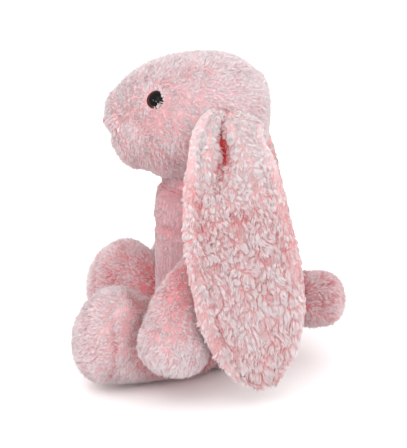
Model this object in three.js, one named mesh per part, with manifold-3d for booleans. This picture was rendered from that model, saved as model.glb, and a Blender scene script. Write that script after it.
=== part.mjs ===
// Seated plush lop-eared rabbit, as its sewn covers, stuffing, eyes and joints.
// Millimetres, +Z up, the face looks along -Y and the rabbit's left side is +X.
// The solids are the backing cloth and filling; the pile stands a few millimetres proud of them.

import * as THREE from 'three';
import { mergeVertices } from 'three/addons/utils/BufferGeometryUtils.js';
import Module from 'manifold-3d';

const wasm = await Module();
wasm.setup();

// Driving dimensions
const CLOTH = 3; // backing cloth with the dense foot of its pile
const GAP = 0.4; // between pieces that touch
const SOCKET_GAP = 0.6; // round a limb's ball where it turns in its seat
const FAR = 300; // larger than the whole rabbit, for cutting planes

const NECK = new THREE.Vector3(0, 2, 108);
const NECK_RADIUS = 20;
const BODY_TOP = 105;
const BODY_SEAM_Y = -6;
const PELLET_TOP = 26;

const SHOULDER = new THREE.Vector3(30, 4, 90);
const SHOULDER_RADIUS = 12;
const ARM_LIFT = 95; // degrees that an arm rises forward from rest
const WELL_GAP = 1.2; // round an arm's upper end where it turns beside the body
const WELL_STEP = 24; // degrees between the positions that shape the well
const THIGH_FLARE = 5; // how much wider than the hip the space for the thigh becomes
const THIGH_REACH = 45; // from the hip to where that space ends
const HIP = new THREE.Vector3(31.5, -6.3, 18);
const HIP_RADIUS = 17.5;
const LEG_HEADING = new THREE.Vector3(0.48, -0.877, 0).normalize();
const LEG_LIFT = 25; // degrees that a leg rises from rest
const LEG_DROP = 12; // degrees that it droops from rest
const SOLE_DISTANCE = 62; // from hip to sole seam
const TAIL_ROOT = new THREE.Vector3(0, 44, 36);
const TAIL_ROOT_RADIUS = 6;

const GUSSET_HALF = 13; // half the width of the strip over the head
const GUSSET_LOW = 150; // where the strip ends at the nose and the nape
const EAR_ROOT = new THREE.Vector3(39.5, 17, 163);
const EAR_ROOT_AXIS = new THREE.Vector3(-0.2, 0.98, 0).normalize();
const EAR_LAYER = 1.6; // half the thickness of each of an ear's two layers
const EAR_GROOVE = 5.6; // radius of the tuck in the head's side that an ear turns in
const EAR_TUCK_LENGTH = 40;

const EYE_LINE_START = new THREE.Vector3(0, -10, 157); // a line from here passes the eye
const EYE_HEADING = new THREE.Vector3(33, -20, 14).normalize();
const EYE_RADIUS = 6.4;
const EYE_DEPTH = 4.2;
const EYE_STAND = 1.2; // the dome's flat foot above the cloth, in the pile
const SHANK_RADIUS = 2;
const SHANK_LENGTH = 10;
const WASHER_RADIUS = 7;
const WASHER_THICKNESS = 1.4;
const WASHER_BACK = 2.2; // the washer's middle behind the cloth's inner face
const WASHER_ROOM = 1; // clear space round it in the stuffing

const NOSE_MIDDLE = new THREE.Vector3(0, -58.6, 153);
const NOSE_HALVES = [6.5, 1.2, 4.2];
const NOSE_LEAN = 0.2; // radians that the nose tips back

const COLOURS = {
  pile: 0xe1bec3, chest: 0xcd969b, ear: 0xe4c0c5, lining: 0xe0b4ba, stuffing: 0xf2efea,
  pellets: 0xd9d2c4, eye: 0x2a120e, washer: 0xe9e6df, nose: 0xd98a93
};

// Stuffed forms: a spine, the half width and half height along it, and how far each end rounds out
const BODY = {
  spine: [[0, 10, 8], [0, 9, 25], [0, 8, 45], [0, 4, 70], [0, 1, 92], [0, 1, 103]],
  halves: [[31, 30], [37, 38], [36, 38], [31, 33], [28, 30], [23, 25]],
  caps: [14, 9], across: [1, 0, 0], detail: [3, 20, 6], inside: [2, 12, 4]
};
const HEAD = {
  spine: [[0, -42, 150], [0, -25, 154], [0, -5, 157.5], [0, 12, 158], [0, 26, 157]],
  halves: [[24, 21], [35, 32], [40, 36.5], [40, 36.5], [34, 31]],
  caps: [15, 12], across: [1, 0, 0], detail: [3, 22, 6], inside: [2, 12, 4]
};
const ARM = {
  spine: [[30, 4, 90], [50, -1, 76], [70, -12, 57], [86, -17, 38]],
  halves: [[11, 10], [11, 11], [13, 15.5], [14.5, 18.5]],
  caps: [11, 17], across: [0.724, 0.281, 0.632], detail: [3, 14, 4], inside: [2, 8, 3]
};
const LEG = {
  spine: [[31.5, -6.3, 18], [39.7, -21.2, 19], [47.8, -36, 22.5], [56, -51, 25.4]],
  halves: [[17, 17.5], [17.5, 18.5], [19, 22], [19.5, 25]],
  caps: [17, 26], across: [0.877, 0.48, 0], detail: [3, 14, 4], inside: [2, 10, 3]
};
const TAIL = {
  spine: [[0, 44, 36], [0, 50, 36.2], [0, 60, 36.6], [0, 71, 37]],
  halves: [[6, 6], [4.6, 4.6], [13.5, 13.5], [14.5, 14.5]],
  caps: [6, 13], across: [1, 0, 0], detail: [3, 12, 5], inside: [2, 8, 3]
};
const EAR = {
  spine: [
    [39.5, 17, 163], [50.5, 18, 150], [60.5, 19, 130], [67.5, 20, 110],
    [75.4, 21.5, 90], [83.1, 24, 70], [89, 29, 50], [90, 35, 30], [87, 40, 12]
  ],
  halves: [15, 20, 25, 27.5, 29.5, 30.5, 29, 22, 12],
  caps: [3, 8], across: [-0.2, 0.98, 0], detail: [2, 10, 10]
};

const points = (list) => list.map((p) => new THREE.Vector3(...p));

// A capsule bent along the form's spine and swelled to its oval sections, drawn in by inset.
function formGeometry(form, inset = 0) {
  const [capSegments, around, along] = inset > 0 ? form.inside : form.detail;
  const geometry = new THREE.CapsuleGeometry(1, 1, capSegments, around, along);
  const curve = new THREE.CatmullRomCurve3(points(form.spine));
  const sizes = new THREE.SplineCurve(form.halves.map((h) => new THREE.Vector2(...h)));
  const across = new THREE.Vector3(...form.across);
  const corners = geometry.attributes.position;
  for (let i = 0; i < corners.count; i++) {
    const along = THREE.MathUtils.clamp(corners.getY(i) + 0.5, 0, 1);
    const overshoot = corners.getY(i) + 0.5 - along;
    const tangent = curve.getTangent(along);
    const side = across.clone().addScaledVector(tangent, -across.dot(tangent)).normalize();
    const up = new THREE.Vector3().crossVectors(side, tangent);
    const half = sizes.getPoint(along);
    const cap = form.caps[overshoot < 0 ? 0 : 1] - inset;
    const corner = curve.getPoint(along)
      .addScaledVector(up, form.lift ?? 0)
      .addScaledVector(side, corners.getX(i) * (half.x - inset))
      .addScaledVector(up, corners.getZ(i) * (half.y - inset))
      .addScaledVector(tangent, overshoot * cap);
    corners.setXYZ(i, corner.x, corner.y, corner.z);
  }
  return geometry;
}

// Between a three.js geometry and a solid that can be cut and joined
function solidOf(geometry) {
  const bare = geometry.clone();
  bare.deleteAttribute('normal');
  bare.deleteAttribute('uv');
  const merged = mergeVertices(bare, 1e-3);
  const kept = [];
  const corners = merged.index.array;
  for (let i = 0; i < corners.length; i += 3) {
    const [a, b, c] = [corners[i], corners[i + 1], corners[i + 2]];
    if (a !== b && b !== c && c !== a) kept.push(a, b, c);
  }
  return new wasm.Manifold(new wasm.Mesh({
    numProp: 3,
    vertProperties: new Float32Array(merged.attributes.position.array),
    triVerts: new Uint32Array(kept)
  }));
}

function geometryOf(solid) {
  const { vertProperties, triVerts, numProp } = solid.getMesh();
  const corners = new Float32Array((vertProperties.length / numProp) * 3);
  for (let i = 0; i < corners.length / 3; i++) {
    for (let k = 0; k < 3; k++) corners[3 * i + k] = vertProperties[i * numProp + k];
  }
  const geometry = new THREE.BufferGeometry();
  geometry.setAttribute('position', new THREE.BufferAttribute(corners, 3));
  geometry.setIndex([...triVerts]);
  geometry.computeVertexNormals();
  return geometry;
}

const formSolid = (form, inset = 0) => solidOf(formGeometry(form, inset));

function ball(centre, radius, around = 16) {
  const geometry = new THREE.SphereGeometry(radius, around, around / 2);
  return solidOf(geometry.translate(centre.x, centre.y, centre.z));
}

// A rod of the given radius, centred on a point and lying along a direction
function rod(centre, heading, radius, length, around = 16) {
  const geometry = new THREE.CylinderGeometry(radius, radius, length, around);
  const turn = new THREE.Quaternion().setFromUnitVectors(new THREE.Vector3(0, 1, 0), heading);
  return solidOf(geometry.applyQuaternion(turn).translate(centre.x, centre.y, centre.z));
}

// Everything on one side of a plane through a point, on the side that the heading looks to
function halfSpace(point, heading) {
  const geometry = new THREE.BoxGeometry(2 * FAR, 2 * FAR, FAR).translate(0, 0, FAR / 2);
  const turn = new THREE.Quaternion().setFromUnitVectors(new THREE.Vector3(0, 0, 1), heading);
  return solidOf(geometry.applyQuaternion(turn).translate(point.x, point.y, point.z));
}

function block(low, high) {
  const size = new THREE.Vector3().subVectors(high, low);
  const middle = new THREE.Vector3().addVectors(low, high).multiplyScalar(0.5);
  return solidOf(new THREE.BoxGeometry(size.x, size.y, size.z).translate(...middle));
}

const mirrorX = (v, side) => new THREE.Vector3(v.x * side, v.y, v.z);

// The rabbit's right side is the left one seen in a mirror
function mirrored(form, side) {
  if (side > 0) return form;
  const flip = ([x, y, z]) => [-x, y, z];
  return {
    ...form, spine: form.spine.map(flip), across: flip(form.across).map((n) => -n)
  };
}

const rabbit = new THREE.Group();

function add(name, solid, colour, roughness = 0.95) {
  const material = new THREE.MeshStandardMaterial({ color: colour, roughness });
  const mesh = new THREE.Mesh(geometryOf(solid), material);
  mesh.name = name;
  rabbit.add(mesh);
}

const minus = (solid, cutters) => cutters.reduce((rest, cutter) => rest.subtract(cutter), solid);

// A cloth cover is the form without its inside; its stuffing is that inside, a little smaller.
const coverOf = (form) => formSolid(form).subtract(formSolid(form, CLOTH));
const fillingOf = (form) => formSolid(form, CLOTH + GAP);

// The space that a thigh sweeps between its highest and lowest position
function legWell(side) {
  const radius = HIP_RADIUS + WELL_GAP;
  const flare = radius + THIGH_FLARE;
  const rise = THREE.MathUtils.degToRad(LEG_LIFT);
  const fall = THREE.MathUtils.degToRad(-LEG_DROP);
  const edge = (angle, offset) => [
    THIGH_REACH * Math.cos(angle) - offset * Math.sin(angle),
    THIGH_REACH * Math.sin(angle) + offset * Math.cos(angle)
  ];
  const outline = new THREE.Shape();
  outline.absarc(0, 0, radius, rise + Math.PI / 2, fall + 1.5 * Math.PI, false);
  outline.lineTo(...edge(fall, -flare));
  outline.lineTo(...edge(rise, flare));
  outline.closePath();
  const width = 2 * (HIP_RADIUS + WELL_GAP);
  const geometry = new THREE.ExtrudeGeometry(outline, {
    depth: width, bevelEnabled: false, curveSegments: 8
  }).translate(0, 0, -width / 2);
  const heading = mirrorX(LEG_HEADING, side);
  const up = new THREE.Vector3(0, 0, 1);
  const axle = new THREE.Vector3().crossVectors(heading, up);
  geometry.applyMatrix4(new THREE.Matrix4().makeBasis(heading, up, axle));
  return solidOf(geometry.translate(...mirrorX(HIP, side)));
}

// The space that an arm's upper end sweeps between hanging at rest and raised forward
function armWell(side) {
  const shoulder = mirrorX(SHOULDER, side);
  const coarse = { ...mirrored(ARM, side), detail: [2, 12, 2] };
  const steps = Math.ceil(ARM_LIFT / WELL_STEP);
  let well = ball(shoulder, SHOULDER_RADIUS + SOCKET_GAP);
  for (let step = 0; step <= steps; step++) {
    const turn = new THREE.Matrix4().makeRotationX(
      THREE.MathUtils.degToRad((-ARM_LIFT * step) / steps)
    );
    const raised = formGeometry(coarse, -WELL_GAP).translate(...shoulder.clone().negate())
      .applyMatrix4(turn).translate(...shoulder);
    well = well.add(solidOf(raised));
  }
  return well;
}

function makeBody() {
  const seats = [
    ball(NECK, NECK_RADIUS + SOCKET_GAP, 20), ball(TAIL_ROOT, TAIL_ROOT_RADIUS + SOCKET_GAP, 10),
    halfSpace(new THREE.Vector3(0, 0, BODY_TOP), new THREE.Vector3(0, 0, 1)),
    halfSpace(new THREE.Vector3(0, 0, 0), new THREE.Vector3(0, 0, -1))
  ];
  for (const side of [1, -1]) {
    seats.push(armWell(side), legWell(side));
  }
  const cover = minus(coverOf(BODY), seats);
  const forward = new THREE.Vector3(0, -1, 0);
  const back = new THREE.Vector3(0, 1, 0);
  const seam = (shift) => new THREE.Vector3(0, BODY_SEAM_Y + shift, 0);
  const floorCloth = halfSpace(new THREE.Vector3(0, 0, CLOTH), new THREE.Vector3(0, 0, -1));
  const base = minus(formSolid(BODY).intersect(floorCloth), seats);
  const shell = cover.add(base);
  add('body_front_panel', shell.intersect(halfSpace(seam(-GAP / 2), forward)), COLOURS.chest);
  add('body_back_panel', shell.intersect(halfSpace(seam(GAP / 2), back)), COLOURS.pile);

  const aboveFloor = halfSpace(new THREE.Vector3(0, 0, CLOTH + GAP), new THREE.Vector3(0, 0, 1));
  const filling = minus(fillingOf(BODY), seats).intersect(aboveFloor);
  const line = (shift) => new THREE.Vector3(0, 0, PELLET_TOP + shift);
  const below = halfSpace(line(0), new THREE.Vector3(0, 0, -1));
  const above = halfSpace(line(GAP), new THREE.Vector3(0, 0, 1));
  add('seat_pellet_bag', filling.intersect(below), COLOURS.pellets);
  add('body_stuffing', filling.intersect(above), COLOURS.stuffing);
  add('neck_stuffing', ball(NECK, NECK_RADIUS, 20), COLOURS.stuffing);
}

// Where the eye's line meets the head's cloth, how the cloth faces there and how thick it is
function eyePlace(side) {
  const looser = new THREE.MeshBasicMaterial({ side: THREE.DoubleSide });
  const meet = (inset, from, heading) => {
    const skin = new THREE.Mesh(formGeometry(HEAD, inset), looser);
    return new THREE.Raycaster(from, heading).intersectObject(skin)[0];
  };
  const outside = meet(0, EYE_LINE_START, EYE_HEADING);
  const facing = outside.face.normal.clone();
  if (facing.dot(EYE_HEADING) < 0) facing.negate();
  const inside = meet(CLOTH, outside.point, facing.clone().negate());
  return {
    point: mirrorX(outside.point, side), heading: mirrorX(facing, side), wall: inside.distance
  };
}

function makeEye(side, name) {
  const { point, heading, wall } = eyePlace(side);
  const washerDepth = wall + WASHER_BACK;
  const along = (distance) => point.clone().addScaledVector(heading, distance);
  const turn = new THREE.Quaternion().setFromUnitVectors(new THREE.Vector3(0, 1, 0), heading);
  const foot = along(EYE_STAND);
  const dome = solidOf(new THREE.SphereGeometry(1, 16, 8)
    .scale(EYE_RADIUS, EYE_DEPTH, EYE_RADIUS).applyQuaternion(turn).translate(...foot))
    .intersect(halfSpace(foot, heading));
  const shankMiddle = along(EYE_STAND + GAP / 2 - SHANK_LENGTH / 2);
  const shank = rod(shankMiddle, heading, SHANK_RADIUS, SHANK_LENGTH, 8);
  add(`eye_${name}`, dome.add(shank), COLOURS.eye, 0.12);
  const washer = rod(along(-washerDepth), heading, WASHER_RADIUS, WASHER_THICKNESS)
    .subtract(rod(along(-washerDepth), heading, SHANK_RADIUS + GAP, SHANK_LENGTH, 8));
  add(`eye_washer_${name}`, washer, COLOURS.washer, 0.5);
  const bed = rod(
    along(-washerDepth), heading, WASHER_RADIUS + GAP, WASHER_THICKNESS + 2 * GAP
  );
  const hole = rod(point, heading, SHANK_RADIUS + GAP, 2 * SHANK_LENGTH, 8).add(bed);
  const recess = rod(along(-washerDepth), heading, WASHER_RADIUS + WASHER_ROOM, 2 * WASHER_THICKNESS)
    .add(rod(point, heading, WASHER_RADIUS + WASHER_ROOM, 2 * washerDepth))
    .add(rod(along(-washerDepth), heading, SHANK_RADIUS + GAP, SHANK_LENGTH, 8));
  return { hole, recess };
}

function makeHead() {
  const eyes = [makeEye(1, 'left'), makeEye(-1, 'right')];
  const seats = [ball(NECK, NECK_RADIUS + SOCKET_GAP, 20)];
  for (const side of [1, -1]) {
    const root = mirrorX(EAR_ROOT, side);
    const axis = mirrorX(EAR_ROOT_AXIS, side);
    seats.push(rod(root, axis, EAR_GROOVE, EAR_TUCK_LENGTH));
  }
  const cover = minus(coverOf(HEAD), [...seats, ...eyes.map((eye) => eye.hole)]);
  const strip = (half, low) => block(
    new THREE.Vector3(-half, -FAR, low), new THREE.Vector3(half, FAR, FAR)
  );
  add('head_gusset', cover.intersect(strip(GUSSET_HALF, GUSSET_LOW)), COLOURS.pile);
  const sides = cover.subtract(strip(GUSSET_HALF + GAP, GUSSET_LOW - GAP));
  for (const [side, name] of [[1, 'left'], [-1, 'right']]) {
    const half = halfSpace(new THREE.Vector3(side * GAP / 2, 0, 0), new THREE.Vector3(side, 0, 0));
    add(`head_side_${name}`, sides.intersect(half), COLOURS.pile);
  }
  const hollows = [...seats, ...eyes.map((eye) => eye.recess)];
  add('head_stuffing', minus(fillingOf(HEAD), hollows), COLOURS.stuffing);
  const nose = new THREE.SphereGeometry(1, 16, 8).scale(...NOSE_HALVES).rotateX(NOSE_LEAN);
  add('nose_embroidery', solidOf(nose.translate(...NOSE_MIDDLE)), COLOURS.nose, 0.5);
}

function makeEar(side, name) {
  const layer = (lift) => ({
    ...EAR, halves: EAR.halves.map((half) => [half, EAR_LAYER]), lift
  });
  const spread = EAR_LAYER + GAP / 2;
  const lining = mirrored(layer(-spread), side);
  const back = mirrored(layer(spread), side);
  add(`ear_lining_${name}`, formSolid(lining), COLOURS.lining);
  add(`ear_back_${name}`, formSolid(back), COLOURS.ear);
}

// Two panels joined by a seam that follows the limb, and the stuffing inside them
function seamHalves(solid, through, heading) {
  const away = heading.clone().negate();
  return [
    solid.intersect(halfSpace(through.clone().addScaledVector(heading, GAP / 2), heading)),
    solid.intersect(halfSpace(through.clone().addScaledVector(heading, -GAP / 2), away))
  ];
}

function makeArm(side, name) {
  const form = mirrored(ARM, side);
  const heading = mirrorX(new THREE.Vector3(...ARM.across), side).normalize();
  const [outer, inner] = seamHalves(coverOf(form), mirrorX(SHOULDER, side), heading);
  add(`arm_outer_${name}`, outer, COLOURS.pile);
  add(`arm_inner_${name}`, inner, COLOURS.pile);
  add(`arm_stuffing_${name}`, fillingOf(form), COLOURS.stuffing);
}

function makeLeg(side, name) {
  const form = mirrored(LEG, side);
  const hip = mirrorX(HIP, side);
  const heading = mirrorX(LEG_HEADING, side);
  const sideways = new THREE.Vector3(-heading.y, heading.x, 0).multiplyScalar(side);
  const toe = hip.clone().addScaledVector(heading, SOLE_DISTANCE);
  const cover = coverOf(form);
  const sole = cover.intersect(halfSpace(toe.clone().addScaledVector(heading, GAP), heading));
  const tube = cover.intersect(halfSpace(toe, heading.clone().negate()));
  const [outer, inner] = seamHalves(tube, hip, sideways);
  add(`leg_outer_${name}`, outer, COLOURS.pile);
  add(`leg_inner_${name}`, inner, COLOURS.pile);
  add(`foot_sole_${name}`, sole, COLOURS.pile);
  add(`leg_stuffing_${name}`, fillingOf(form), COLOURS.stuffing);
}

function makeTail() {
  const cover = coverOf(TAIL);
  const [left, right] = seamHalves(cover, TAIL_ROOT, new THREE.Vector3(1, 0, 0));
  add('tail_left_panel', left, COLOURS.pile);
  add('tail_right_panel', right, COLOURS.pile);
  add('tail_stuffing', fillingOf(TAIL), COLOURS.stuffing);
}

makeBody();
makeHead();
makeTail();
for (const [side, name] of [[1, 'left'], [-1, 'right']]) {
  makeEar(side, name);
  makeArm(side, name);
  makeLeg(side, name);
}

export default rabbit;
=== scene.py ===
"""Seated plush lop-eared rabbit: stuffed skins, mesh pile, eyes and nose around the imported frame."""
import math

import bmesh
import bpy
import numpy as np
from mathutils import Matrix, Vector, kdtree


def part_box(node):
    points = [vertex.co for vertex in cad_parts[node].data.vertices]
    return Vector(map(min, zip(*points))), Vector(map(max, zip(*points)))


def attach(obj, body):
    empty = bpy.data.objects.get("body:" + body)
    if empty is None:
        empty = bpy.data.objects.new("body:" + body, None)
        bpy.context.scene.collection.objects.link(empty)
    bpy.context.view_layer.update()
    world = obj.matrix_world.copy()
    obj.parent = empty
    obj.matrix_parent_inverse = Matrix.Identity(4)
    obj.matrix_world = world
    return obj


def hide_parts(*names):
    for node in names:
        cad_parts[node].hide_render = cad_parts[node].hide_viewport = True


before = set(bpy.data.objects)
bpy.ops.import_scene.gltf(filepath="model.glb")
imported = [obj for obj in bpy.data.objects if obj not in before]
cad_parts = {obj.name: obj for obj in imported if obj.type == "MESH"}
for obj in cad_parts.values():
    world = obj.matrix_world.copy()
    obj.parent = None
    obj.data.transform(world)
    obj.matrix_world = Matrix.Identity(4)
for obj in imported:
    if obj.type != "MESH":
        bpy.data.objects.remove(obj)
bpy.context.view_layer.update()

MM = 0.001
SEED = 11
GROUND = 0.6  # the lowest that a skin comes, in millimetres
STEP = 1e-3  # along a spine, to measure its heading


# ---------------------------------------------------------------- shape helpers

def spline(rows, t):
    """Catmull-Rom through the rows, spaced evenly over t from 0 to 1."""
    rows = np.asarray(rows, float)
    if rows.ndim == 1:
        rows = rows[:, None]
    padded = np.vstack([2 * rows[0] - rows[1], rows, 2 * rows[-1] - rows[-2]])
    at = np.clip(t, 0, 1) * (len(rows) - 1)
    k = np.minimum(at.astype(int), len(rows) - 2)
    f = (at - k)[:, None]
    a, b, c, d = (padded[k + i] for i in range(4))
    return 0.5 * (2 * b + (c - a) * f + (2 * a - 5 * b + 4 * c - d) * f**2
                  + (3 * b - a - 3 * c + d) * f**3)


def unit(v):
    return v / np.maximum(np.linalg.norm(v, axis=-1, keepdims=True), 1e-12)


def heading_along(spine, t):
    return unit(spline(spine, np.clip(t + STEP, 0, 1)) - spline(spine, np.clip(t - STEP, 0, 1)))


def waves(points, scale, seed, count=7):
    """A smooth, repeatable noise from -1 to 1: crossed sine waves about `scale` long."""
    rng = np.random.RandomState(seed)
    total = np.zeros(len(points))
    for _ in range(count):
        direction = unit(rng.normal(size=3))
        length = scale * rng.uniform(0.7, 1.5)
        total += np.sin(points @ direction * (2 * math.pi / length) + rng.uniform(0, 6.28))
    return total / math.sqrt(count) / 1.6


def bump_at(value, centre, width):
    return np.exp(-((value - centre) / width) ** 2)


class Form:
    """A closed stuffed form: oval rings along a spine, rounded off at both ends (millimetres)."""

    def __init__(self, spine, halves, caps, across, around=72, rings=56, blunt=2.4, side=1):
        self.spine = np.array(spine, float) * [side, 1, 1]
        self.halves, self.caps = np.array(halves, float), caps
        self.across = unit(np.array(across, float) * [side, 1, 1]) * side
        self.around, self.rings, self.blunt, self.side = around, rings, blunt, side

    def grid(self):
        """Ring corners, and for each its place along the spine and its angle round it."""
        length = np.linalg.norm(np.diff(self.spine, axis=0), axis=1).sum()
        low, high = self.caps
        share = np.linspace(0, math.pi, self.rings + 2)[1:-1]
        run = (1 - np.cos(share)) / 2 * (length + low + high) - low
        t = np.clip(run / length, 0, 1)
        over = np.where(run < 0, -run / low, np.where(run > length, (run - length) / high, 0))
        reach = (1 - np.clip(over, 0, 1) ** self.blunt) ** (1 / self.blunt)
        centre = spline(self.spine, t)
        ahead = heading_along(self.spine, t)
        beyond = np.where(run < 0, run, np.where(run > length, run - length, 0))
        centre = centre + ahead * beyond[:, None]
        side = unit(self.across - ahead * (ahead @ self.across)[:, None])
        up = np.cross(side, ahead)
        half = spline(self.halves, t)
        angle = np.linspace(0, 2 * math.pi, self.around, endpoint=False)
        wide, tall = ((half[:, k:k + 1] * reach[:, None])[:, None] for k in (0, 1))
        ring = (centre[:, None] + side[:, None] * (np.cos(angle)[None, :, None] * wide)
                + up[:, None] * (np.sin(angle)[None, :, None] * tall))
        poles = np.array([spline(self.spine, np.array([0.0]))[0] - ahead[0] * low,
                          spline(self.spine, np.array([1.0]))[0] + ahead[-1] * high])
        return ring.reshape(-1, 3), poles

    def mesh_data(self):
        corners, poles = self.grid()
        n, rings = self.around, self.rings
        faces = []
        for r in range(rings - 1):
            for a in range(n):
                b = (a + 1) % n
                faces.append((r * n + a, r * n + b, (r + 1) * n + b, (r + 1) * n + a))
        first, last = rings * n, rings * n + 1
        for a in range(n):
            b = (a + 1) % n
            faces.append((first, b, a))
            faces.append((last, (rings - 1) * n + a, (rings - 1) * n + b))
        return np.vstack([corners, poles]), faces


def clean(mesh, join=0.0):
    """Turn the faces outwards, after joining corners closer than `join` metres."""
    work = bmesh.new()
    work.from_mesh(mesh)
    if join:
        bmesh.ops.remove_doubles(work, verts=work.verts, dist=join)
    bmesh.ops.recalc_face_normals(work, faces=work.faces)
    work.to_mesh(mesh)
    work.free()


def add_piece(name, mesh):
    piece = bpy.data.objects.new(name, mesh)
    bpy.context.scene.collection.objects.link(piece)
    return piece


def new_mesh(name, corners, faces):
    mesh = bpy.data.meshes.new(name)
    mesh.from_pydata([tuple(c) for c in np.asarray(corners) * MM], [], faces)
    mesh.update()
    clean(mesh)
    mesh.polygons.foreach_set("use_smooth", [True] * len(mesh.polygons))
    return add_piece(name, mesh)


def nearest_of(points):
    tree = kdtree.KDTree(len(points))
    for i, p in enumerate(points):
        tree.insert(p, i)
    tree.balance()
    return tree


def mesh_arrays(piece):
    mesh = piece.data
    mesh.calc_loop_triangles()
    corners = np.empty(len(mesh.vertices) * 3)
    mesh.vertices.foreach_get("co", corners)
    normals = np.empty(len(mesh.vertices) * 3)
    mesh.vertices.foreach_get("normal", normals)
    triangles = np.empty(len(mesh.loop_triangles) * 3, int)
    mesh.loop_triangles.foreach_get("vertices", triangles)
    return corners.reshape(-1, 3) / MM, normals.reshape(-1, 3), triangles.reshape(-1, 3)


# ---------------------------------------------------------------- materials

def srgb(r, g, b):
    def channel(v):
        v /= 255
        return v / 12.92 if v <= 0.04045 else ((v + 0.055) / 1.055) ** 2.4
    return (channel(r), channel(g), channel(b), 1.0)


def ramp(nodes, stops, factor, links):
    node = nodes.new("ShaderNodeValToRGB")
    while len(node.color_ramp.elements) < len(stops):
        node.color_ramp.elements.new(0.5)
    for element, (at, colour) in zip(node.color_ramp.elements, stops):
        element.position, element.color = at, colour
    links.new(factor, node.inputs["Fac"])
    return node.outputs["Color"]


def principled(name):
    material = bpy.data.materials.new(name)
    material.use_nodes = True
    nodes, links = material.node_tree.nodes, material.node_tree.links
    shader = nodes["Principled BSDF"]
    return material, nodes, links, shader


def attribute(nodes, name):
    node = nodes.new("ShaderNodeAttribute")
    node.attribute_name = name
    return node.outputs["Fac"]


def plush_material(name, crease_shade_ramp, open_pile):
    """Pile colour from root to tip: the deeper first ramp is painted shade where the cloth tucks in,
    `open_pile` the pile's own colour elsewhere; the shade attribute mixes them.
    """
    material, nodes, links, shader = principled(name)
    tip = attribute(nodes, "tip")
    shade = attribute(nodes, "shade")
    mix = nodes.new("ShaderNodeMix")
    mix.data_type = "RGBA"
    links.new(shade, mix.inputs["Factor"])
    links.new(ramp(nodes, crease_shade_ramp, tip, links), mix.inputs["A"])
    links.new(ramp(nodes, open_pile, tip, links), mix.inputs["B"])
    links.new(mix.outputs["Result"], shader.inputs["Base Color"])
    shader.inputs["Roughness"].default_value = 0.9
    shader.inputs["Sheen Weight"].default_value = 0.1
    shader.inputs["Sheen Roughness"].default_value = 0.5
    shader.inputs["Specular IOR Level"].default_value = 0.1
    shader.inputs["Subsurface Weight"].default_value = 0.4
    shader.inputs["Subsurface Radius"].default_value = (1.0, 0.45, 0.45)
    shader.inputs["Subsurface Scale"].default_value = 0.003
    return material


# The first ramp of each pile is painted shade for folds and creases, deeper and redder than the open
# pile.
PLUSH = plush_material(
    "plush_pile",
    [(0.0, srgb(200, 40, 52)), (0.4, srgb(228, 108, 114)), (0.9, srgb(236, 188, 192))],
    [(0.0, srgb(236, 140, 146)), (0.35, srgb(240, 192, 196)), (0.8, srgb(247, 226, 229))])
CHEST = plush_material(
    "chest_pile",
    [(0.0, srgb(186, 62, 72)), (0.4, srgb(204, 112, 118)), (0.9, srgb(212, 158, 163))],
    [(0.0, srgb(204, 138, 144)), (0.35, srgb(208, 162, 168)), (0.8, srgb(215, 181, 185))])
EAR_PILE = plush_material(
    "ear_pile",
    [(0.0, srgb(172, 26, 36)), (0.4, srgb(226, 96, 98)), (0.9, srgb(238, 190, 192))],
    [(0.0, srgb(236, 140, 142)), (0.35, srgb(241, 196, 198)), (0.8, srgb(251, 232, 234))])


# ---------------------------------------------------------------- pile

LOCK_RINGS = np.array([0.0, 0.55])
LOCK_SIDES = 3
SOFT = 3.0  # how much a lock is lit as the surface it grows from rather than as a spike
ROOT_DEPTH = 0.6  # how far under the skin a lock starts
LOWEST_PILE = 0.3
MOST_LOCKS = 19000  # in one piece
CLUMPS = {}  # where the clumps of each pile stand, shared by its pieces


def lock_normals(count, per, first, second, turn):
    out = np.zeros((count, per, 3))
    for r in range(len(LOCK_RINGS)):
        for k in range(LOCK_SIDES):
            angle = turn + k * 2 * math.pi / LOCK_SIDES
            out[:, r * LOCK_SIDES + k] = (first * np.cos(angle)[:, None]
                                          + second * np.sin(angle)[:, None])
    return out.reshape(-1, 3)


def comb_down(points, normals):
    """A comb gives the way the pile lies at each point, here straight down."""
    return np.tile([0.0, 0.0, -1.0], (len(points), 1))


def pile(name, skin, count, *rest, seed=0, **more):
    """Pile over a skin, in as many pieces as keep each one a moderate size."""
    batches = math.ceil(count / MOST_LOCKS)
    for batch in range(batches):
        piece = name if batches == 1 else f"{name}_{batch + 1}"
        pile_piece(piece, name, skin, count // batches, *rest, seed=seed, batch=batch, **more)


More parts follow.
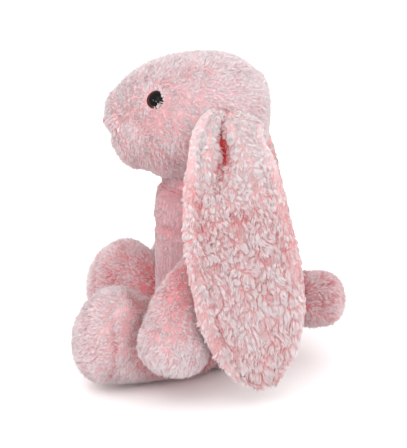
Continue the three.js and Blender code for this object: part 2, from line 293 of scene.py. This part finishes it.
def pile_piece(name, group, skin, count, length, width, lean, comb, shade, keep, body, material,
               slot="plush", curl=0.9, clump=4.0, gather=0.28, seed=0, batch=0, stretch=0.6,
               valley=0.25, ridge=0.4, wild=0.7):
    """Locks of pile over a skin, each a tapered curved spike, gathered into clumps.

    `clump` is how far apart the clumps stand and `gather` how far the tips bend to them,
    `stretch` flattens the clumps' heights, `valley` is how much shorter the locks between
    clumps are, over a share `ridge` of their distance, and `wild` scales the disorder.
    """
    rng = np.random.RandomState(SEED + 1000 * batch + seed)
    corners, normals, triangles = mesh_arrays(skin)
    a, b, c = (corners[triangles[:, k]] for k in range(3))
    areas = np.linalg.norm(np.cross(b - a, c - a), axis=1) / 2
    pick = rng.choice(len(areas), size=count, p=areas / areas.sum())
    u, v = rng.rand(count), rng.rand(count)
    flip = u + v > 1
    u[flip], v[flip] = 1 - u[flip], 1 - v[flip]
    root = a[pick] + (b - a)[pick] * u[:, None] + (c - a)[pick] * v[:, None]
    n0, n1, n2 = (normals[triangles[pick, k]] for k in range(3))
    normal = unit(n0 * (1 - u - v)[:, None] + n1 * u[:, None] + n2 * v[:, None])
    if keep is not None:
        kept = keep(root, normal)
        root, normal = root[kept], normal[kept]
    count = len(root)

    run = comb(root, normal)
    run = unit(run - normal * (run * normal).sum(1)[:, None])
    swirl = curl * waves(root, 13, seed + 1) + 0.5 * curl * waves(root, 5, seed + 2)
    cross = np.cross(normal, run)
    run = run * np.cos(swirl)[:, None] + cross * np.sin(swirl)[:, None]

    flow = np.array([1, 1, stretch])
    warped = (root + 0.28 * clump * np.stack([waves(root, 3.2 * clump, seed + k)
                                              for k in (3, 4, 5)], axis=1)) * flow
    drawn = np.random.RandomState(SEED + seed)
    clumps = min(count, max(8, int(areas.sum() * stretch**0.5 / clump**2)))
    if batch == 0:
        spots = drawn.choice(count, size=clumps, replace=False)
        CLUMPS[group] = root[spots], warped[spots]
    centres, warped_centres = CLUMPS[group]
    tree = nearest_of(warped_centres)
    found = [tree.find_n(p, 2) for p in warped]
    nearest = np.array([f[0][1] for f in found])
    crest = np.array([(f[1][2] - f[0][2]) / clump for f in found])
    crest = np.clip(crest / ridge, 0, 1)
    crest = crest * crest * (3 - 2 * crest)
    pull = centres[nearest] - root
    pull -= normal * (pull * normal).sum(1)[:, None]

    full = length(root) if callable(length) else np.full(count, float(length))
    size = full * (1 - valley + valley * crest) * (1 + wild * rng.uniform(-0.25, 0.15, count))
    lean = lean(root) if callable(lean) else lean
    tilt = np.clip(lean + 0.2 * wild * rng.normal(size=count), 0.05, 1.35)
    shift = rng.normal(size=(count, 3)) * 0.16 * wild
    tone = shade(root, normal) + rng.normal(size=count) * 0.09
    # Painted shade: where the shade goes below 0, the lock's colours stay nearer its root.
    fold_shade = np.clip(1 + np.minimum(tone, 0), 0.25, 1)
    tone = np.clip(tone, 0, 1)

    def path(s):
        bend = tilt * (0.5 + 0.75 * s)
        rise = size * s
        return (root - normal * ROOT_DEPTH + normal * (rise * np.cos(bend))[:, None]
                + run * (rise * np.sin(bend))[:, None] + pull * (gather * s * s)
                + shift * (size * s)[:, None])

    rings = []
    tangent = unit(path(0.9) - path(0.1))
    first = unit(np.cross(tangent, normal + 0.01))
    second = np.cross(tangent, first)
    turn = rng.uniform(0, 6.28, count)
    wide = width * rng.uniform(0.75, 1.25, count)
    for s in LOCK_RINGS:
        radius = wide * (1 - s) ** 0.45 * 0.5
        centre = path(s)
        for k in range(LOCK_SIDES):
            angle = turn + k * 2 * math.pi / LOCK_SIDES
            rings.append(centre + first * (radius * np.cos(angle))[:, None]
                         + second * (radius * np.sin(angle))[:, None])
    rings.append(path(1.0))
    per = len(rings)
    points = np.stack(rings, axis=1)
    points[:, :, 2] = np.maximum(points[:, :, 2], LOWEST_PILE)
    steps = np.append(np.repeat(LOCK_RINGS, LOCK_SIDES), 1.0)[None]
    steps = 0.25 + 0.75 * np.minimum(steps / 0.8, 1)
    # The tips' colour is held nearer the root in painted-shade folds and in the valleys between clumps.
    # In the valleys this is partly the coral roots that show there and partly painted shade.
    tips = np.clip(steps * (fold_shade * (0.55 + 0.45 * crest))[:, None], 0, 1)

    pattern, sizes = [], []
    for r in range(len(LOCK_RINGS) - 1):
        for k in range(LOCK_SIDES):
            m = (k + 1) % LOCK_SIDES
            low, high = r * LOCK_SIDES, (r + 1) * LOCK_SIDES
            pattern += [low + k, low + m, high + m, high + k]
            sizes.append(4)
    last = (len(LOCK_RINGS) - 1) * LOCK_SIDES
    for k in range(LOCK_SIDES):
        pattern += [last + k, last + (k + 1) % LOCK_SIDES, per - 1]
        sizes.append(3)
    loops = (np.arange(count)[:, None] * per + np.array(pattern)[None]).ravel()
    totals = np.tile(sizes, count)
    starts = np.concatenate([[0], np.cumsum(totals)[:-1]])

    mesh = bpy.data.meshes.new(name)
    mesh.vertices.add(count * per)
    mesh.vertices.foreach_set("co", (points.reshape(-1, 3) * MM).ravel())
    mesh.loops.add(len(loops))
    mesh.loops.foreach_set("vertex_index", loops)
    mesh.polygons.add(len(totals))
    mesh.polygons.foreach_set("loop_start", starts)
    mesh.polygons.foreach_set("use_smooth", np.ones(len(totals), bool))
    mesh.update(calc_edges=True)
    add_values(mesh, tips.ravel(), np.repeat(tone, per))
    layer = mesh.uv_layers.new(name="OFBake")
    along = tips.ravel()[loops] * 0.9 + 0.05
    tones = np.repeat(tone, per)[loops] * 0.9 + 0.05
    layer.data.foreach_set("uv", np.stack([tones, along], axis=1).ravel())
    mesh.normals_split_custom_set_from_vertices(
        unit(np.repeat(normal, per, axis=0) * SOFT + lock_normals(count, per, first, second, turn)))
    piece = add_piece(name, mesh)
    mesh.materials.append(material)
    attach(piece, body)


def add_values(mesh, tip, shade):
    for name, values in (("tip", tip), ("shade", shade)):
        layer = mesh.attributes.new(name, "FLOAT", "POINT")
        layer.data.foreach_set("value", np.asarray(values, float))


SKIN_TIP = 0.3  # how far up the pile's colours the backing cloth lies


def finish_skin(piece, body, material, nodes, shade):
    """A stuffed skin: the woven backing that shows between the locks."""
    corners, normals, _ = mesh_arrays(piece)
    tone = shade(corners, normals)
    # Painted shade: where the shade goes below 0, the backing takes colours nearer the pile's root,
    # deepest in the ear's pleat. The waves add random tone.
    value = SKIN_TIP * np.clip(1 + np.minimum(tone, 0), 0.1, 1) + 0.04 * waves(corners, 3, 91)
    add_values(piece.data, np.clip(value, 0, 1), np.clip(tone, 0, 1))
    piece.data.materials.append(material)
    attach(piece, body)
    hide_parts(*nodes)


# ---------------------------------------------------------------- head

HEAD_SPINE = [(0, -46, 148.6), (0, -36, 151.6), (0, -24, 154), (0, -8, 156),
              (0, 8, 157), (0, 20, 156.6), (0, 30, 156)]
HEAD_HALVES = [(27, 24.4), (34, 31), (38.5, 35.8), (42, 38), (43, 37.3), (39.5, 34), (32, 27)]
EYES = {"left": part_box("eye_left"), "right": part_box("eye_right")}
EYE_CLEAR, EYE_CLEAR_SHIFT = 6.3, (0, -0.1, 0.2)  # no pile grows this near the eye
NOSE_CLEAR = (8.0, 4.6, 153)  # half width, half height and middle height without pile


def eye_centre(name):
    low, high = EYES[name]
    return (np.array(low) + np.array(high)) / 2 / MM


def head_shade(points, normals):
    """A shade is painted shade on the pile: 1 pale and open, 0 shaded as a fold, below 0 deeper still.
    On the head it is darker low down, under the jaw, round the eyes and along the mouth's groove, with
    random tone from the waves.
    """
    jaw = np.clip((128 - points[:, 2]) / 16, 0, 1)
    eye = sum(bump_at(np.linalg.norm(points - eye_centre(n), axis=1), 0, 13) for n in EYES)
    mouth = bump_at(points[:, 2], 147, 3.5) * np.clip((-50 - points[:, 1]) / 8, 0, 1)
    low = np.clip((162 - points[:, 2]) / 30, 0, 1)
    return (0.95 + 0.08 * waves(points, 20, 5) - 0.35 * low - 0.3 * jaw - 0.25 * eye - 0.3 * mouth)


def make_head():
    form = Form(HEAD_SPINE, HEAD_HALVES, (11.6, 9.4), (1, 0, 0), blunt=2.1)
    corners, faces = form.mesh_data()
    y, z = corners[:, 1], corners[:, 2]
    front = np.clip((-40 - y) / 20, 0, 1) ** 2
    corners[:, 1] += front * (3.2 * bump_at(z, 147, 3.4) - 1.4 * bump_at(z, 153, 4))
    cleft = front * bump_at(corners[:, 0], 0, 4) * np.clip((150 - z) / 10, 0, 1)
    corners[:, 1] += 2.0 * cleft
    skin = new_mesh("head_skin", corners, faces)
    finish_skin(skin, "head", PLUSH,
                ["head_gusset", "head_side_left", "head_side_right"], head_shade)

    def comb(points, normals):
        run = np.tile([0.0, 0.75, -0.5], (len(points), 1))
        for name in EYES:
            away = points - eye_centre(name)
            near = np.exp(-(np.linalg.norm(away, axis=1) / 9) ** 2)[:, None]
            over = (away[:, 1] - away[:, 2] > 2)[:, None]
            run = run * (1 - near) + unit(away) * near * np.where(over, -2.2, 1.2)
        return run

    def keep(points, normals):
        clear = np.ones(len(points), bool)
        for name in EYES:
            clear &= np.linalg.norm(points - eye_centre(name) - EYE_CLEAR_SHIFT, axis=1) > EYE_CLEAR
        wide, tall, middle = NOSE_CLEAR
        nose = np.hypot(points[:, 0] / wide, (points[:, 2] - middle) / tall) < 1
        return clear & ~(nose & (points[:, 1] < -40))

    pile("head_pile", skin, 50000, 3.5, 0.78, 0.5, comb, head_shade, keep, "head",
         PLUSH, clump=2.1, seed=10)
    return skin


# ---------------------------------------------------------------- body

BODY_SPINE = [(0, 10, 8), (0, 9, 25), (0, 8.0, 45), (0, 4, 70), (0, -0.5, 90), (0, -2, 102),
              (0, -1, 109)]
BODY_HALVES = [(31, 30), (37.5, 38.3), (36.5, 38.2), (32, 34.5), (28, 30.5), (25, 28), (23, 26)]


def body_shade(points, normals):
    # Painted shade under the chin and in the front crease at 88 mm, with random tone from the waves.
    front = np.clip(-normals[:, 1], 0, 1)
    under_chin = np.clip((points[:, 2] - 100) / 14, 0, 1)
    crease = bump_at(points[:, 2], 88, 2.2) * front
    return 0.85 - 0.3 * under_chin - 0.5 * crease + 0.12 * waves(points, 16, 8)


def neck_shade(points, normals):
    return 0.7 + 0.1 * waves(points, 12, 9)


def make_body():
    form = Form(BODY_SPINE, BODY_HALVES, (8, 7), (1, 0, 0))
    corners, faces = form.mesh_data()
    corners[:, 2] = np.maximum(corners[:, 2], GROUND)
    front = np.clip(-(corners[:, 1] - 2) / 30, 0, 1)
    corners[:, 1] += 1.4 * front * bump_at(corners[:, 2], 88, 3)
    skin = new_mesh("body_skin", corners, faces)
    finish_skin(skin, "torso", CHEST, ["body_front_panel", "body_back_panel"],
                body_shade)

    def front_only(points, normals):
        return (points[:, 1] < 6) & (points[:, 2] > 2) & (normals[:, 2] < 0.55)

    def back_only(points, normals):
        return (points[:, 1] >= 6) & (points[:, 2] > 2) & (normals[:, 2] < 0.55)

    pile("chest_pile", skin, 37000, 2.6, 0.7, 0.9, comb_down, body_shade, front_only, "torso",
         CHEST, slot="chest_plush", clump=2.2, curl=0.5, seed=20)
    pile("back_pile", skin, 37000, 4.4, 0.95, 0.6, comb_down, body_shade, back_only, "torso",
         PLUSH, clump=2.7, seed=21)
    collar = Form([(0, -1, 96), (0, -1, 108), (0, 0, 121)], [(21, 23), (22.3, 25), (21.5, 24)],
                  (5, 6), (1, 0, 0), 64, 32)
    neck = new_mesh("neck_skin", *collar.mesh_data())
    finish_skin(neck, "neck", PLUSH, ["neck_stuffing"], neck_shade)
    pile("throat_pile", neck, 12000, 2.8, 0.75, 0.85, comb_down, body_shade,
         lambda points, normals: (points[:, 2] > 104) & (points[:, 1] < 6), "neck", CHEST,
         slot="chest_plush", clump=2.4, seed=22)
    pile("nape_pile", neck, 12000, 3.6, 0.9, 0.8, comb_down, neck_shade,
         lambda points, normals: (points[:, 2] > 104) & (points[:, 1] >= 6), "neck", PLUSH,
         clump=2.6, seed=23)


# ---------------------------------------------------------------- limbs and tail

ARM_SPINE = [(30, 4, 90), (50, -1, 76), (70, -12, 57), (86, -17, 38)]
ARM_HALVES = [(10.5, 9.5), (11.2, 10.6), (14, 16.4), (15.9, 19.9)]
LEG_SPINE = [(31.5, -6.3, 18.5), (39.7, -21.2, 20.5), (47.8, -36, 25.5), (57.8, -56, 33)]
LEG_HALVES = [(17.5, 17.5), (19, 19.3), (21.3, 23.8), (22.9, 28.4)]
TAIL_SPINE = [(0, 44, 36), (0, 55, 36.6), (0, 64, 37.4), (0, 73, 37.8)]
TAIL_HALVES = [(8, 8), (9.5, 9.5), (15.4, 15.4), (15.7, 15.7)]


def limb_comb(spine, side):
    """Pile that lies along the limb, away from the body, and a little down."""
    start, end = np.array(spine[0]) * [side, 1, 1], np.array(spine[-1]) * [side, 1, 1]
    heading = unit(end - start)

    def comb(points, normals):
        return np.tile(heading * 0.8 + [0, 0, -0.45], (len(points), 1))
    return comb


def arm_shade(points, normals):
    # Painted shade on the arm's inner side and at its upper fold by the body, with random tone from the
    # waves.
    inner = np.clip(-(normals[:, 0] * np.sign(points[:, 0])), 0, 1)
    fold = np.clip((points[:, 2] - 42) / 30, 0, 1)
    return 0.85 - 0.35 * inner - 0.5 * fold + 0.15 * waves(points, 14, 31)


def arm_length(points):
    return np.interp(points[:, 2], [34, 78], [3.9, 2.4])


SOLE_SEAM = 62.5  # from the hip
HIP, LEG_HEADING = np.array([31.5, -6.3]), np.array([0.48, -0.877])


def sole_distance(points):
    """How far along its leg a point lies from the hip."""
    flat = np.stack([np.abs(points[:, 0]), points[:, 1]], axis=1)
    return (flat - HIP) @ LEG_HEADING


def leg_shade(points, normals):
    # Painted shade near the hip where the leg meets the body, on its inner side and in the dent of the
    # sole seam, with random tone from the waves.
    hip = np.clip((points[:, 1] + 48) / 30, 0, 1)
    inner = np.clip(-(normals[:, 0] * np.sign(points[:, 0])), 0, 1)
    seam = bump_at(sole_distance(points), SOLE_SEAM, 1.1) * (points[:, 2] < 42)
    return 0.8 - 0.75 * hip - 0.4 * inner - 0.55 * seam + 0.14 * waves(points, 18, 32)


def tail_shade(points, normals):
    # Darker overall than the other pile, with painted shade deepening towards the root where the tail
    # meets the body, and random tone from the waves.
    root = np.clip((66 - points[:, 1]) / 14, 0, 1)
    return 0.36 - 1.3 * root + 0.22 * waves(points, 9, 33)


def make_arm(side, name):
    form = Form(ARM_SPINE, ARM_HALVES, (11.5, 18), (0.724, 0.281, 0.632), 56, 48, side=side)
    skin = new_mesh(f"arm_skin_{name}", *form.mesh_data())
    finish_skin(skin, f"arm_{name}", PLUSH, [f"arm_outer_{name}", f"arm_inner_{name}"],
                arm_shade)
    pile(f"arm_pile_{name}", skin, 22000, arm_length, 0.82, 0.55, limb_comb(ARM_SPINE, side), arm_shade,
         None, f"arm_{name}", PLUSH, clump=2.3, seed=30 + side)


def make_leg(side, name):
    form = Form(LEG_SPINE, LEG_HALVES, (17, 20.5), (0.877, 0.48, 0), 64, 48, blunt=2.0, side=side)
    corners, faces = form.mesh_data()
    middle = spline(LEG_SPINE, np.array([1.0]))[0] * [side, 1, 1]
    inward = unit(middle - corners)
    corners += inward * (1.6 * bump_at(sole_distance(corners), SOLE_SEAM, 1.6))[:, None]
    corners[:, 2] = np.maximum(corners[:, 2], GROUND)
    skin = new_mesh(f"leg_skin_{name}", corners, faces)
    finish_skin(skin, f"leg_{name}", PLUSH,
                [f"leg_outer_{name}", f"leg_inner_{name}", f"foot_sole_{name}"], leg_shade)
    pile(f"leg_pile_{name}", skin, 30000, 3.5, 0.8, 0.5, limb_comb(LEG_SPINE, side), leg_shade,
         lambda p, n: p[:, 2] > 1.5, f"leg_{name}", PLUSH, clump=2.1, seed=40 + side)


def make_tail():
    form = Form(TAIL_SPINE, TAIL_HALVES, (6, 15), (1, 0, 0), 48, 40)
    skin = new_mesh("tail_skin", *form.mesh_data())
    finish_skin(skin, "tail", PLUSH, ["tail_left_panel", "tail_right_panel"], tail_shade)

    def comb(points, normals):
        return np.tile([0.0, 0.9, -0.4], (len(points), 1))
    pile("tail_pile", skin, 12000, 4.2, 0.88, 0.5, comb, tail_shade, None, "tail", PLUSH,
         clump=2.4, seed=50)


# ---------------------------------------------------------------- ears

EAR_SPINE = [(39.5, 19.5, 163), (50.5, 15, 150), (60.5, 16, 132), (66, 17.3, 118), (71.4, 19, 102),
             (79.5, 23.3, 80), (87, 27, 58), (89.5, 30, 42), (89, 32.7, 28), (86.8, 36.4, 14.6)]
EAR_WIDTHS = [16.2, 22.4, 27.4, 30, 32, 33, 31.5, 27, 20, 6.5]
EAR_ACROSS, EAR_ALONG = 61, 90


def pleat(v):
    """Where the fold at the ear's root runs, and half how wide it is."""
    return (np.interp(v, [0.04, 0.15, 0.26], [-0.38, -0.1, -0.34]),
            np.interp(v, [0.04, 0.14, 0.2, 0.28], [0.07, 0.19, 0.17, 0.12]))


def ear_surface(u, v, layer):
    """A point on one side of the left ear: u across from -1 to 1, v down from 0 to 1."""
    centre = spline(EAR_SPINE, v)
    ahead = heading_along(EAR_SPINE, v)
    across = np.array([-0.2, 0.98, 0.0])
    side = unit(across - ahead * (ahead @ across)[:, None])
    out = np.cross(ahead, side)
    width = spline(EAR_WIDTHS, v)[:, 0]
    edge = np.sqrt(np.clip(1 - np.abs(u) ** 2.6, 0, 1))
    tip = np.sqrt(np.clip(1 - np.clip((v - 0.9) / 0.1, 0, 1) ** 2, 0, 1))
    root = np.clip(v / 0.05, 0, 1)
    body = 4.0 * edge * (0.55 + 0.45 * tip)
    rim = bump_at(np.abs(u), 0.86, 0.12) * 1.8 * root
    groove = bump_at(np.abs(u), 0.70, 0.06) * np.where(u < 0, 1.8, 0.7) * root * (v < 0.97)
    thick = body + rim * edge
    if layer > 0:
        thick = thick - groove * edge
        middle, wide = pleat(v)
        depth = np.interp(v, [0.03, 0.08, 0.14, 0.2, 0.3], [0, 4.5, 7, 4.5, 0])
        thick = thick - depth * bump_at(u, middle, wide)
        thick = thick + 2.5 * bump_at(v, 0.13, 0.08) * (
            bump_at(u, middle - 0.4, 0.2) + bump_at(u, middle + 0.4, 0.25))
    cup = 4.5 * np.abs(u) ** 2.2 * np.clip(v / 0.25, 0, 1)
    return centre + side * (u * width)[:, None] + out * (layer * thick + cup)[:, None]


def make_ear(side, name):
    """A lining and a back closed into one skin, with pile longer towards the ear's end."""
    grid_u, grid_v = np.meshgrid(np.sin(np.linspace(-1, 1, EAR_ACROSS) * math.pi / 2),
                                 np.linspace(0, 1, EAR_ALONG))
    u, v = grid_u.ravel(), grid_v.ravel()
    lining = ear_surface(u, v, 1)
    back = ear_surface(u, v, -1)
    flip = np.array([side, 1, 1])
    corners = np.vstack([lining, back]) * flip
    n, total = EAR_ACROSS, EAR_ACROSS * EAR_ALONG
    faces = []
    for r in range(EAR_ALONG - 1):
        for c in range(EAR_ACROSS - 1):
            a = r * n + c
            faces.append((a, a + 1, a + 1 + n, a + n))
            faces.append((total + a, total + a + n, total + a + 1 + n, total + a + 1))
    for c in range(EAR_ACROSS - 1):
        low = (EAR_ALONG - 1) * n + c
        faces.append((c, total + c, total + c + 1, c + 1))
        faces.append((low, low + 1, total + low + 1, total + low))
    skin = new_mesh(f"ear_skin_{name}", corners, faces)
    clean(skin.data, 0.05 * MM)

    tree = nearest_of(corners)
    both_u, both_v = np.tile(u, 2), np.tile(v, 2)

    def place(points):
        found = np.array([tree.find(p)[1] for p in points])
        return both_u[found], both_v[found], found < total

    def shade(points, normals):
        pu, pv, lined = place(points)
        # Paler towards the ear's root and darker down its length; painted shade in the pleat at the
        # root, along the lining's groove and where the ear meets the head; random tone from the waves.
        value = (1.15 - 0.55 * np.clip((pv - 0.05) / 0.35, 0, 1) + 0.2 * waves(points, 18, 60)
                 + 0.14 * waves(points, 7, 61))
        middle, wide = pleat(pv)
        fold_shade = np.interp(pv, [0.02, 0.07, 0.15, 0.2, 0.32], [0.4, 1.6, 1.8, 1.0, 0])
        value -= fold_shade * bump_at(pu, middle, wide) * lined
        value -= np.where(pu < 0, 0.35, 0.15) * bump_at(np.abs(pu), 0.70, 0.06) * lined * (pv > 0.3)
        value -= 0.25 * bump_at(pv, 0.0, 0.02)
        return value

    finish_skin(skin, f"ear_{name}", EAR_PILE,
                [f"ear_lining_{name}", f"ear_back_{name}"], shade)

    def comb(points, normals):
        pu, pv, lined = place(points)
        spread = np.zeros((len(points), 3))
        spread[:, 1] = 0.2 * pu
        spread[:, 2] = -1.0
        return spread

    def length(points):
        pu, pv, lined = place(points)
        fringe = bump_at(np.abs(pu), 1.0, 0.2)
        hidden = np.where(lined, 0, 0.8) * np.clip((np.abs(pu) - 0.7) / 0.2, 0, 1)
        return 3.6 + 1.5 * np.clip((pv - 0.08) / 0.35, 0, 1) - 1.5 * fringe - hidden

    def lean(points):
        pu, pv, lined = place(points)
        return 0.6 + 0.4 * bump_at(np.abs(pu), 1.0, 0.25)

    def keep(points, normals):
        pu, pv, lined = place(points)
        middle, wide = pleat(pv)
        inside = np.interp(pv, [0.04, 0.09, 0.16, 0.21], [0, 1, 1, 0]) * bump_at(pu, middle, wide)
        return ~(lined & (inside > 0.72))

    pile(f"ear_pile_{name}", skin, 56000, length, 0.82, lean, comb, shade, keep, f"ear_{name}",
         EAR_PILE, slot="ear_plush", clump=3.3, gather=0.3, curl=0.8, stretch=0.55,
         valley=0.36, ridge=0.38, wild=0.5, seed=60 + side)


# ---------------------------------------------------------------- eyes and nose

def eye_material():
    material, nodes, links, shader = principled("eye_gloss")
    ring = attribute(nodes, "ring")
    colour = ramp(nodes, [(0.0, (0.002, 0.0015, 0.0015, 1)), (0.70, (0.003, 0.002, 0.002, 1)),
                          (0.78, srgb(52, 22, 16)), (0.92, srgb(74, 34, 26)),
                          (1.0, srgb(26, 12, 10))], ring, links)
    links.new(colour, shader.inputs["Base Color"])
    shader.inputs["Roughness"].default_value = 0.07
    shader.inputs["Specular IOR Level"].default_value = 0.12
    return material


EYE_GLOSS = eye_material()
EYE_HEADING = {"left": np.array([0.84, -0.42, 0.34]), "right": np.array([-0.84, -0.42, 0.34])}
PUPIL_SHIFT = np.array([0, 0.26, 0.12])  # of the dark middle, in eye radii
EYE_SHIFT = np.array([0, 1.4, -0.3])
EYE_RADIUS, EYE_HEIGHT, EYE_STAND = 6.4, 4.2, 3.0
EYE_ROWS, EYE_AROUND = 16, 40
EYE_EDGE = 0.62  # of half a turn, from the eye's top to its hidden edge


def make_eye(name):
    heading = unit(EYE_HEADING[name])
    centre = eye_centre(name) + heading * EYE_STAND + EYE_SHIFT
    first = unit(np.cross(heading, [0, 0, 1.0]))
    second = np.cross(first, heading)
    rows, around = EYE_ROWS, EYE_AROUND
    pupil = np.array([first @ PUPIL_SHIFT, second @ PUPIL_SHIFT])
    corners, ring = [centre + heading * EYE_HEIGHT], [0.0]
    for r in range(1, rows + 1):
        angle = r / rows * math.pi * EYE_EDGE
        for k in range(around):
            turn = k * 2 * math.pi / around
            out = math.sin(angle) * EYE_RADIUS
            corners.append(centre + heading * EYE_HEIGHT * math.cos(angle)
                           + first * out * math.cos(turn) + second * out * math.sin(turn))
            ring.append(min(1.0, math.hypot(
                *(np.array([out * math.cos(turn), out * math.sin(turn)]) / EYE_RADIUS - pupil))))
    faces = [(0, 1 + k, 1 + (k + 1) % around) for k in range(around)]
    for r in range(rows - 1):
        for k in range(around):
            m = (k + 1) % around
            faces.append((1 + r * around + k, 1 + (r + 1) * around + k,
                          1 + (r + 1) * around + m, 1 + r * around + m))
    faces.append(tuple(1 + (rows - 1) * around + k for k in range(around)))
    piece = new_mesh(f"eye_dome_{name}", np.array(corners), faces)
    layer = piece.data.attributes.new("ring", "FLOAT", "POINT")
    layer.data.foreach_set("value", np.array(ring))
    piece.data.materials.append(EYE_GLOSS)
    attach(piece, "head")
    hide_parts(f"eye_{name}")


NOSE_WIDTH, NOSE_TOP, NOSE_LOW, NOSE_THREADS = 7.0, 155.5, 149.5, 15


def tube(points, radius, sides=6):
    """Corners and faces of a closed thread along the points."""
    points = np.asarray(points, float)
    ahead = unit(np.gradient(points, axis=0))
    side = unit(np.cross(ahead, [0.3, 0.2, 1.0]))
    up = np.cross(side, ahead)
    corners = []
    for k in range(sides):
        angle = 2 * math.pi * k / sides
        corners.append(points + side * radius * math.cos(angle) + up * radius * math.sin(angle))
    corners = np.stack(corners, axis=1).reshape(-1, 3)
    faces = []
    for i in range(len(points) - 1):
        for k in range(sides):
            m = (k + 1) % sides
            faces.append((i * sides + k, i * sides + m, (i + 1) * sides + m, (i + 1) * sides + k))
    faces.append(tuple(range(sides)))
    faces.append(tuple((len(points) - 1) * sides + k for k in range(sides)))
    return corners, faces


def make_nose(head):
    """Satin stitches side by side in a soft triangle, and the stitched line of the mouth."""
    skin = mesh_arrays(head)[0]
    skin = skin[skin[:, 1] < -35]

    def muzzle(x, z):
        near = np.exp(-((skin[:, 0] - x) ** 2 + (skin[:, 2] - z) ** 2) / 1.4**2)
        return (near * skin[:, 1]).sum() / near.sum()

    thread, nodes, links, shader = principled("nose_thread")
    wave = nodes.new("ShaderNodeTexNoise")
    wave.inputs["Scale"].default_value = 1800
    colour = ramp(nodes, [(0.3, srgb(196, 96, 106)), (0.7, srgb(222, 128, 137))],
                  wave.outputs["Fac"], links)
    links.new(colour, shader.inputs["Base Color"])
    shader.inputs["Roughness"].default_value = 0.45
    shader.inputs["Sheen Weight"].default_value = 0.3
    corners, faces = [], []

    def stitch(points, radius):
        more, sides = tube(points, radius)
        first = sum(len(c) for c in corners)
        corners.append(more)
        faces.extend(tuple(first + k for k in face) for face in sides)

    run = np.linspace(0, 1, 9)
    for k in range(NOSE_THREADS):
        across = (k / (NOSE_THREADS - 1) * 2 - 1)
        top = NOSE_TOP - 0.8 * across**2
        low = NOSE_LOW + (NOSE_TOP - NOSE_LOW - 1.6) * abs(across) ** 1.3
        swell = np.sin(run * math.pi) * (1 - 0.5 * across**2)
        x, z = across * NOSE_WIDTH, top + (low - top) * run
        y = np.array([muzzle(x, height) for height in z]) - 0.8 - 1.2 * swell
        stitch(np.stack([np.full(9, x), y, z], axis=1), 0.55)
    z = NOSE_LOW + 0.5 - 6 * run
    y = np.array([muzzle(0, height) for height in z]) - 0.7
    stitch(np.stack([np.zeros(9), y, z], axis=1), 0.45)
    piece = new_mesh("nose_stitches", np.vstack(corners), faces)
    piece.data.materials.append(thread)
    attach(piece, "head")
    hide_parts("nose_embroidery")


# ---------------------------------------------------------------- plain inner materials

def inner_material(name, light, dark, scale, roughness):
    material, nodes, links, shader = principled(name)
    noise = nodes.new("ShaderNodeTexNoise")
    noise.inputs["Scale"].default_value = scale
    noise.inputs["Detail"].default_value = 6
    colour = ramp(nodes, [(0.3, dark), (0.7, light)], noise.outputs["Fac"], links)
    links.new(colour, shader.inputs["Base Color"])
    shader.inputs["Roughness"].default_value = roughness
    return material


def dress_inside():
    fibre = inner_material("fibre_fill", srgb(248, 246, 242), srgb(226, 222, 214), 900, 0.95)
    beads = inner_material("pellet_bag_cloth", srgb(226, 218, 202), srgb(198, 188, 168), 700, 0.9)
    washer = inner_material("washer_white", srgb(240, 238, 232), srgb(222, 220, 212), 300, 0.45)
    for node, material in [("body_stuffing", fibre), ("head_stuffing", fibre),
                           ("arm_stuffing_left", fibre), ("arm_stuffing_right", fibre),
                           ("leg_stuffing_left", fibre), ("leg_stuffing_right", fibre),
                           ("tail_stuffing", fibre), ("seat_pellet_bag", beads),
                           ("eye_washer_left", washer), ("eye_washer_right", washer)]:
        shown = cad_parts[node].data
        shown.materials.clear()
        shown.materials.append(material)


# ---------------------------------------------------------------- room, light and camera

FLOOR_SIZE, FLOOR_DROP, FLOOR_TONE = 8, 0.0005, 0.96
WORLD_STRENGTH = 1.4
LAMPS = [("key", (1.2, -0.3, 1.1), 6, 1.0), ("fill", (1.3, 0.5, 0.5), 2, 1.2),
         ("back", (-1.0, 0.3, 1.2), 3, 1.0), ("catch", (0.68, -0.93, 0.60), 2.5, 0.14)]
LAMP_AIM = Vector((0, 0, 0.09))
CAMERA_ELEVATION, CAMERA_DISTANCE, CAMERA_TARGET = 14.5, 0.93, Vector((0, 0, 0.087))
CAMERA_LENS, CAMERA_SENSOR = 118.6, 36


def make_room():
    floor_material, _, _, shader = principled("floor_paper")
    shader.inputs["Base Color"].default_value = (FLOOR_TONE, FLOOR_TONE, FLOOR_TONE, 1)
    shader.inputs["Roughness"].default_value = 0.9
    bpy.ops.mesh.primitive_plane_add(size=FLOOR_SIZE, location=(0, 0, -FLOOR_DROP))
    floor = bpy.context.object
    floor.name = "floor"
    floor.data.materials.append(floor_material)
    world = bpy.data.worlds.new("studio")
    bpy.context.scene.world = world
    world.use_nodes = True
    sky = world.node_tree.nodes["Background"]
    sky.inputs["Color"].default_value = (1, 1, 1, 1)
    sky.inputs["Strength"].default_value = WORLD_STRENGTH
    for name, place, energy, size in LAMPS:
        lamp = bpy.data.lights.new(name, "AREA")
        lamp.energy, lamp.size = energy, size
        item = bpy.data.objects.new(name, lamp)
        item.location = place
        item.visible_diffuse = name != "catch"  # that one only makes the eyes' highlight
        item.rotation_euler = (LAMP_AIM - Vector(place)).to_track_quat("-Z", "Y").to_euler()
        bpy.context.scene.collection.objects.link(item)


def make_camera():
    elevation = math.radians(CAMERA_ELEVATION)
    lens = bpy.data.cameras.new("camera")
    lens.lens, lens.sensor_width = CAMERA_LENS, CAMERA_SENSOR
    lens.clip_start, lens.clip_end = 0.05, 20
    camera = bpy.data.objects.new("camera", lens)
    out = Vector((math.cos(elevation), 0, math.sin(elevation)))
    camera.location = CAMERA_TARGET + out * CAMERA_DISTANCE
    camera.rotation_euler = (CAMERA_TARGET - camera.location).to_track_quat("-Z", "Y").to_euler()
    bpy.context.scene.collection.objects.link(camera)
    bpy.context.scene.camera = camera


make_camera()
make_room()
bpy.context.scene.view_settings.view_transform = "Standard"
make_nose(make_head())
make_body()
make_tail()
for side, name in ((1, "left"), (-1, "right")):
    make_arm(side, name)
    make_leg(side, name)
    make_ear(side, name)
    make_eye(name)
dress_inside()
